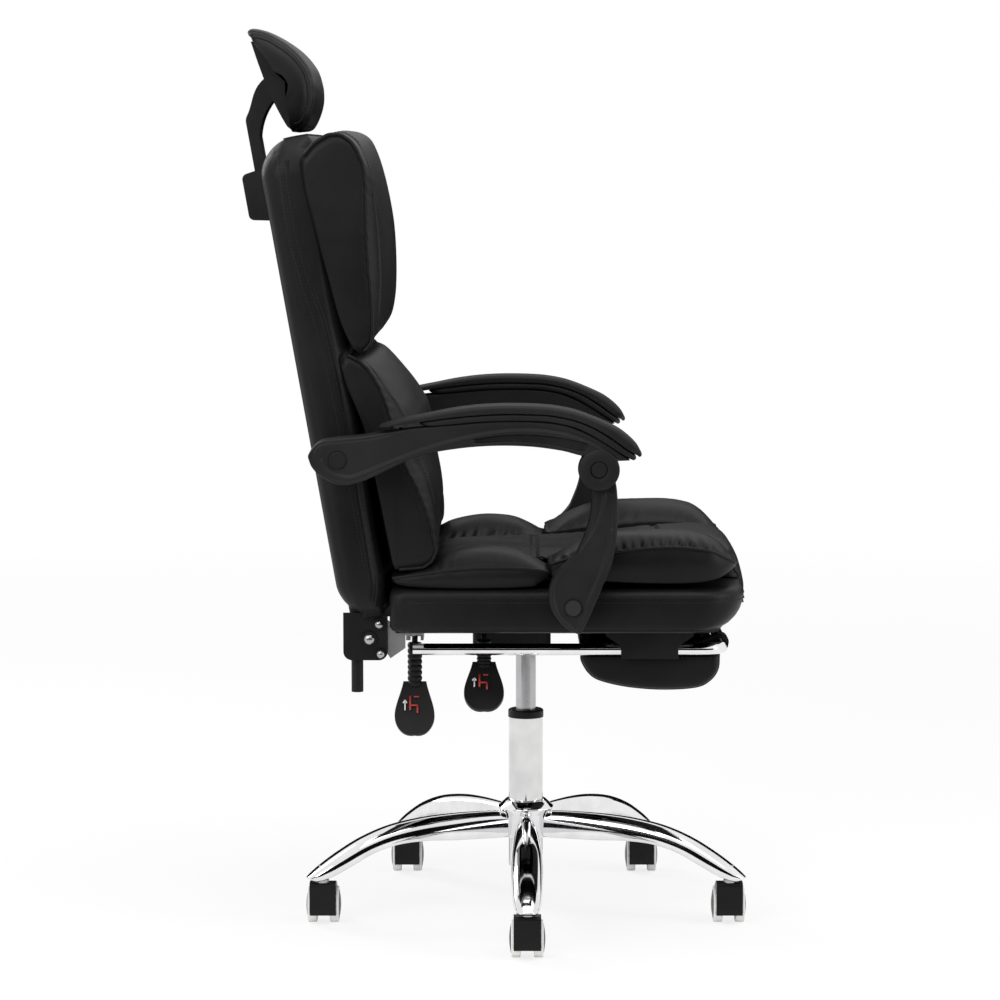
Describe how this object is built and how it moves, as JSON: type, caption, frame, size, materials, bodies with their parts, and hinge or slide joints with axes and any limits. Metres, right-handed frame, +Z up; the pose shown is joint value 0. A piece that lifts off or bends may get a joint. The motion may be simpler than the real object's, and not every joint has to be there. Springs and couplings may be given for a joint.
{
  "type": "reclining office chair with footrest",
  "caption": "High-backed padded swivel chair on a star base with casters, with linked armrests, reclining back, adjustable headrest and a pull-out footrest.",
  "frame": {"origin": "on the floor under the column, on its axis", "axes": "+Z up; the chair faces -Y; +X is towards the sitter's left"},
  "size_m": [0.64, 0.6949, 1.2328],
  "materials": {
    "star_steel": "gloss",
    "column_chrome": "gloss",
    "cylinder_steel": "satin",
    "mechanism_paint": "satin",
    "bushing_plastic": "matte",
    "stem_steel": "satin",
    "rod_steel": "polished",
    "plywood": "matte",
    "side_leatherette": "satin",
    "pillow_leatherette": "satin",
    "zinc_steel": "satin",
    "lever_steel": "satin",
    "lever_plastic": "satin",
    "rail_steel": "gloss",
    "shell_plastic": "satin",
    "arm_plastic": "satin",
    "arm_pad": "matte",
    "hood_plastic": "satin",
    "tyre_grey": "matte"
  },
  "bodies": {
    "base": {"star_base": "star_steel", "column_tube": "column_chrome", "column_bushing": "bushing_plastic", "caster_stems": "stem_steel", "thrust_bearing": "rod_steel"},
    "rod": {"piston_rod": "rod_steel"},
    "seat": {"gas_cylinder": "cylinder_steel", "seat_mechanism": "mechanism_paint", "seat_board": "plywood", "seat_cushion": "side_leatherette", "seat_pad": "pillow_leatherette", "seat_bolsters": "side_leatherette", "seat_hinge_bar": "zinc_steel", "rail_guides": "bushing_plastic", "seat_bolts": "stem_steel"},
    "button": {"release_button": "rod_steel"},
    "lift_lever": {"lift_lever_rod": "lever_steel", "lift_lever_grip": "lever_plastic"},
    "lock_lever": {"lock_lever_rod": "lever_steel", "lock_lever_grip": "lever_plastic"},
    "rails": {"footrest_rail": "rail_steel", "rail_end_caps": "bushing_plastic"},
    "footrest": {"footrest_board": "plywood", "footrest_cushion": "side_leatherette", "footrest_clips": "zinc_steel"},
    "back": {"back_frame_tube": "mechanism_paint", "back_board": "plywood", "back_cushion": "side_leatherette", "upper_pillow": "pillow_leatherette", "lumbar_pillow": "pillow_leatherette", "recline_brackets": "mechanism_paint", "back_bolts": "stem_steel", "headrest_guide": "shell_plastic"},
    "head_stem": {"headrest_stem": "shell_plastic", "headrest_pin": "stem_steel"},
    "headrest": {"headrest_shell": "shell_plastic", "headrest_cushion": "pillow_leatherette"},
    "arm_r": {"armrest_frame_r": "arm_plastic", "armrest_pad_r": "arm_pad", "arm_pins_r": "stem_steel"},
    "arm_l": {"armrest_frame_l": "arm_plastic", "armrest_pad_l": "arm_pad", "arm_pins_l": "stem_steel"},
    "link_r": {"arm_link_r": "arm_plastic"},
    "link_l": {"arm_link_l": "arm_plastic"},
    "caster_1": {"caster_hood_1": "hood_plastic"},
    "wheels_1": {"caster_wheels_1": "hood_plastic", "caster_tyres_1": "tyre_grey"},
    "caster_2": {"caster_hood_2": "hood_plastic"},
    "wheels_2": {"caster_wheels_2": "hood_plastic", "caster_tyres_2": "tyre_grey"},
    "caster_3": {"caster_hood_3": "hood_plastic"},
    "wheels_3": {"caster_wheels_3": "hood_plastic", "caster_tyres_3": "tyre_grey"},
    "caster_4": {"caster_hood_4": "hood_plastic"},
    "wheels_4": {"caster_wheels_4": "hood_plastic", "caster_tyres_4": "tyre_grey"},
    "caster_5": {"caster_hood_5": "hood_plastic"},
    "wheels_5": {"caster_wheels_5": "hood_plastic", "caster_tyres_5": "tyre_grey"}
  },
  "joints": [
    {"name": "seat_swivel", "type": "hinge", "parent": "base", "child": "rod", "pos_m": [0, 0, 0.2], "axis": [0, 0, 1], "continuous": true},
    {"name": "seat_lift", "type": "slide", "parent": "rod", "child": "seat", "axis": [0, 0, 1], "range_m": [-0.08, 0.01]},
    {"name": "release_press", "type": "slide", "parent": "seat", "child": "button", "axis": [0, 0, -1], "range_m": [0, 0.0046], "stiffness_N_per_m": 300, "springref_m": -0.004},
    {"name": "lift_pull", "type": "hinge", "parent": "seat", "child": "lift_lever", "pos_m": [-0.056, 0.058, 0.416], "axis": [0, 1, 0], "range_deg": [0, 4.5], "stiffness_Nm_per_rad": 1.2, "springref_deg": -8.59},
    {"name": "lock_pull", "type": "hinge", "parent": "seat", "child": "lock_lever", "pos_m": [-0.09, 0.152, 0.412], "axis": [0, 1, 0], "range_deg": [0, 4.5], "stiffness_Nm_per_rad": 1.2, "springref_deg": -8.59},
    {"name": "footrest_slide", "type": "slide", "parent": "seat", "child": "rails", "axis": [0, -1, 0], "range_m": [0, 0.25]},
    {"name": "footrest_flip", "type": "hinge", "parent": "rails", "child": "footrest", "pos_m": [0, -0.266, 0.3975], "axis": [-1, 0, 0], "range_deg": [0, 180]},
    {"name": "recline", "type": "hinge", "parent": "seat", "child": "back", "pos_m": [0, 0.198, 0.438], "axis": [-1, 0, 0], "range_deg": [0, 35]},
    {"name": "headrest_height", "type": "slide", "parent": "back", "child": "head_stem", "axis": [0, 0.1736, 0.9848], "range_m": [0, 0.045]},
    {"name": "headrest_tilt", "type": "hinge", "parent": "head_stem", "child": "headrest", "pos_m": [0, 0.34, 1.161], "axis": [-1, 0, 0], "range_deg": [0, 30]},
    {"name": "arm_turn_r", "type": "hinge", "parent": "back", "child": "arm_r", "pos_m": [0, 0.2475, 0.667], "axis": [1, 0, 0], "range_deg": [0, 27]},
    {"name": "link_turn_r", "type": "hinge", "parent": "seat", "child": "link_r", "pos_m": [0, -0.06, 0.47], "axis": [-1, 0, 0], "range_deg": [0, 40.5]},
    {"name": "arm_turn_l", "type": "hinge", "parent": "back", "child": "arm_l", "pos_m": [0, 0.2475, 0.667], "axis": [1, 0, 0], "range_deg": [0, 27]},
    {"name": "link_turn_l", "type": "hinge", "parent": "seat", "child": "link_l", "pos_m": [0, -0.06, 0.47], "axis": [-1, 0, 0], "range_deg": [0, 40.5]},
    {"name": "caster_swivel_1", "type": "hinge", "parent": "base", "child": "caster_1", "pos_m": [-0.296, 0, 0.05], "axis": [0, 0, 1], "continuous": true},
    {"name": "wheel_roll_1", "type": "hinge", "parent": "caster_1", "child": "wheels_1", "pos_m": [-0.276, 0, 0.025], "axis": [0, 1, 0], "continuous": true},
    {"name": "caster_swivel_2", "type": "hinge", "parent": "base", "child": "caster_2", "pos_m": [-0.09147, -0.28151, 0.05], "axis": [0, 0, 1], "continuous": true},
    {"name": "wheel_roll_2", "type": "hinge", "parent": "caster_2", "child": "wheels_2", "pos_m": [-0.07147, -0.28151, 0.025], "axis": [0, 1, 0], "continuous": true},
    {"name": "caster_swivel_3", "type": "hinge", "parent": "base", "child": "caster_3", "pos_m": [0.23947, -0.17398, 0.05], "axis": [0, 0, 1], "continuous": true},
    {"name": "wheel_roll_3", "type": "hinge", "parent": "caster_3", "child": "wheels_3", "pos_m": [0.25947, -0.17398, 0.025], "axis": [0, 1, 0], "continuous": true},
    {"name": "caster_swivel_4", "type": "hinge", "parent": "base", "child": "caster_4", "pos_m": [0.23947, 0.17398, 0.05], "axis": [0, 0, 1], "continuous": true},
    {"name": "wheel_roll_4", "type": "hinge", "parent": "caster_4", "child": "wheels_4", "pos_m": [0.25947, 0.17398, 0.025], "axis": [0, 1, 0], "continuous": true},
    {"name": "caster_swivel_5", "type": "hinge", "parent": "base", "child": "caster_5", "pos_m": [-0.09147, 0.28151, 0.05], "axis": [0, 0, 1], "continuous": true},
    {"name": "wheel_roll_5", "type": "hinge", "parent": "caster_5", "child": "wheels_5", "pos_m": [-0.07147, 0.28151, 0.025], "axis": [0, 1, 0], "continuous": true}
  ],
  "couplings": [
    {"joint": "release_press", "follows": "lift_pull", "m_per_rad": 0.0575},
    {"joint": "arm_turn_r", "follows": "recline", "ratio": 0.765},
    {"joint": "link_turn_r", "follows": "recline", "ratio": 1.137},
    {"joint": "arm_turn_l", "follows": "recline", "ratio": 0.765},
    {"joint": "link_turn_l", "follows": "recline", "ratio": 1.137}
  ]
}
